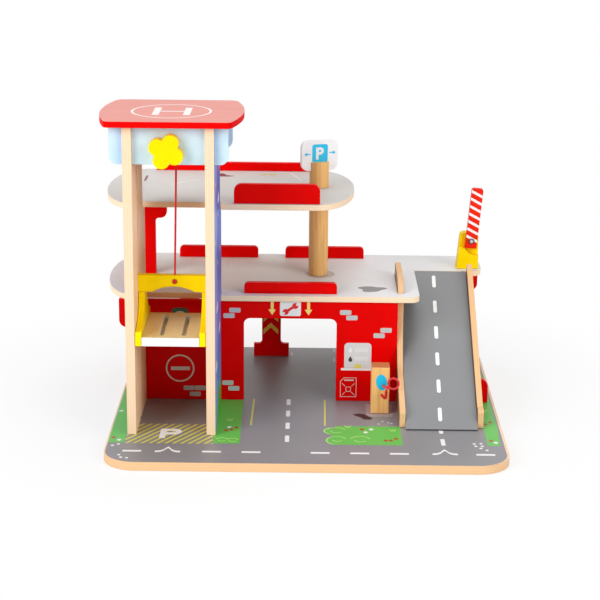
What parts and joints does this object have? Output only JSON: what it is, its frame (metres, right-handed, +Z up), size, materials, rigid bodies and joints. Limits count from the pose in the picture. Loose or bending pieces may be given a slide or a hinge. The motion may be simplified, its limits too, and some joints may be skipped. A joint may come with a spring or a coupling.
{
  "type": "toy parking garage",
  "caption": "Wooden toy parking garage with a winch-driven car lift in a tower, two parking decks, a ramp with a tilting barrier, a fuel pump and a helipad roof.",
  "frame": {"origin": "middle of the whole garage's footprint, on the surface that it stands on", "axes": "+X to the ramp side (viewer's right), +Y from the open front to the back, +Z up"},
  "size_m": [0.4178, 0.368, 0.3295],
  "materials": {
    "grey_print": "printed plywood, satin lacquer",
    "red_paint": "satin paint on plywood",
    "deck_grey_print": "printed plywood, satin lacquer",
    "peach_plywood": "clear lacquered plywood",
    "pale_blue_paint": "satin paint on plywood",
    "roof_red": "satin paint on plywood",
    "yellow_paint": "satin paint on plywood",
    "bare_pine": "bare turned or sawn pine",
    "red_cord": "twisted cotton cord",
    "white_paint": "satin paint on plywood",
    "road_grey_print": "printed plywood, satin lacquer",
    "stripe_red_paint": "red and white stripes printed on plywood",
    "steel": "nickel-plated steel screw"
  },
  "bodies": {
    "garage": {"base_board": "grey_print", "front_wall": "red_paint", "back_trestle": "red_paint", "deck_lower": "deck_grey_print", "deck_upper": "deck_grey_print", "upper_column": "red_paint", "tower_side_left": "peach_plywood", "tower_side_right": "peach_plywood", "header_front": "pale_blue_paint", "header_back": "pale_blue_paint", "helipad_roof": "roof_red", "lift_string": "red_cord", "pole_lower": "bare_pine", "pole_upper": "bare_pine", "sign_board": "white_paint", "rail_lower_front": "red_paint", "rail_lower_back_left": "red_paint", "rail_lower_back_right": "red_paint", "rail_upper_front": "red_paint", "rail_upper_back": "red_paint", "ramp_deck": "road_grey_print", "ramp_side_left": "peach_plywood", "ramp_side_right": "peach_plywood", "barrier_post": "yellow_paint", "barrier_screw": "steel", "fuel_pump": "bare_pine", "pump_hose": "red_cord", "pump_nozzle": "red_cord"},
    "lift": {"lift_arch": "yellow_paint", "lift_floor": "white_paint", "lift_knot": "red_cord", "lift_side_left": "yellow_paint", "lift_side_right": "yellow_paint"},
    "winch": {"winch_knob": "yellow_paint", "winch_axle": "bare_pine", "winch_end_stop": "bare_pine", "string_winding": "red_cord"},
    "barrier": {"barrier_arm": "stripe_red_paint"}
  },
  "joints": [
    {"name": "lift_slide", "type": "slide", "parent": "garage", "child": "lift", "axis": [0, 0, 1], "range_m": [-0.0935, 0.1126], "deforming": ["lift_string"]},
    {"name": "winch_turn", "type": "hinge", "parent": "garage", "child": "winch", "pos_m": [-0.1295, -0.1093, 0.3], "axis": [0, -1, 0], "range_deg": [-900, 1080]},
    {"name": "barrier_tilt", "type": "hinge", "parent": "garage", "child": "barrier", "pos_m": [0.19, 0.115, 0.158], "axis": [0, -1, 0], "range_deg": [0, 94.7]}
  ],
  "couplings": [
    {"joint": "winch_turn", "follows": "lift_slide", "rad_per_m": 166.67}
  ]
}
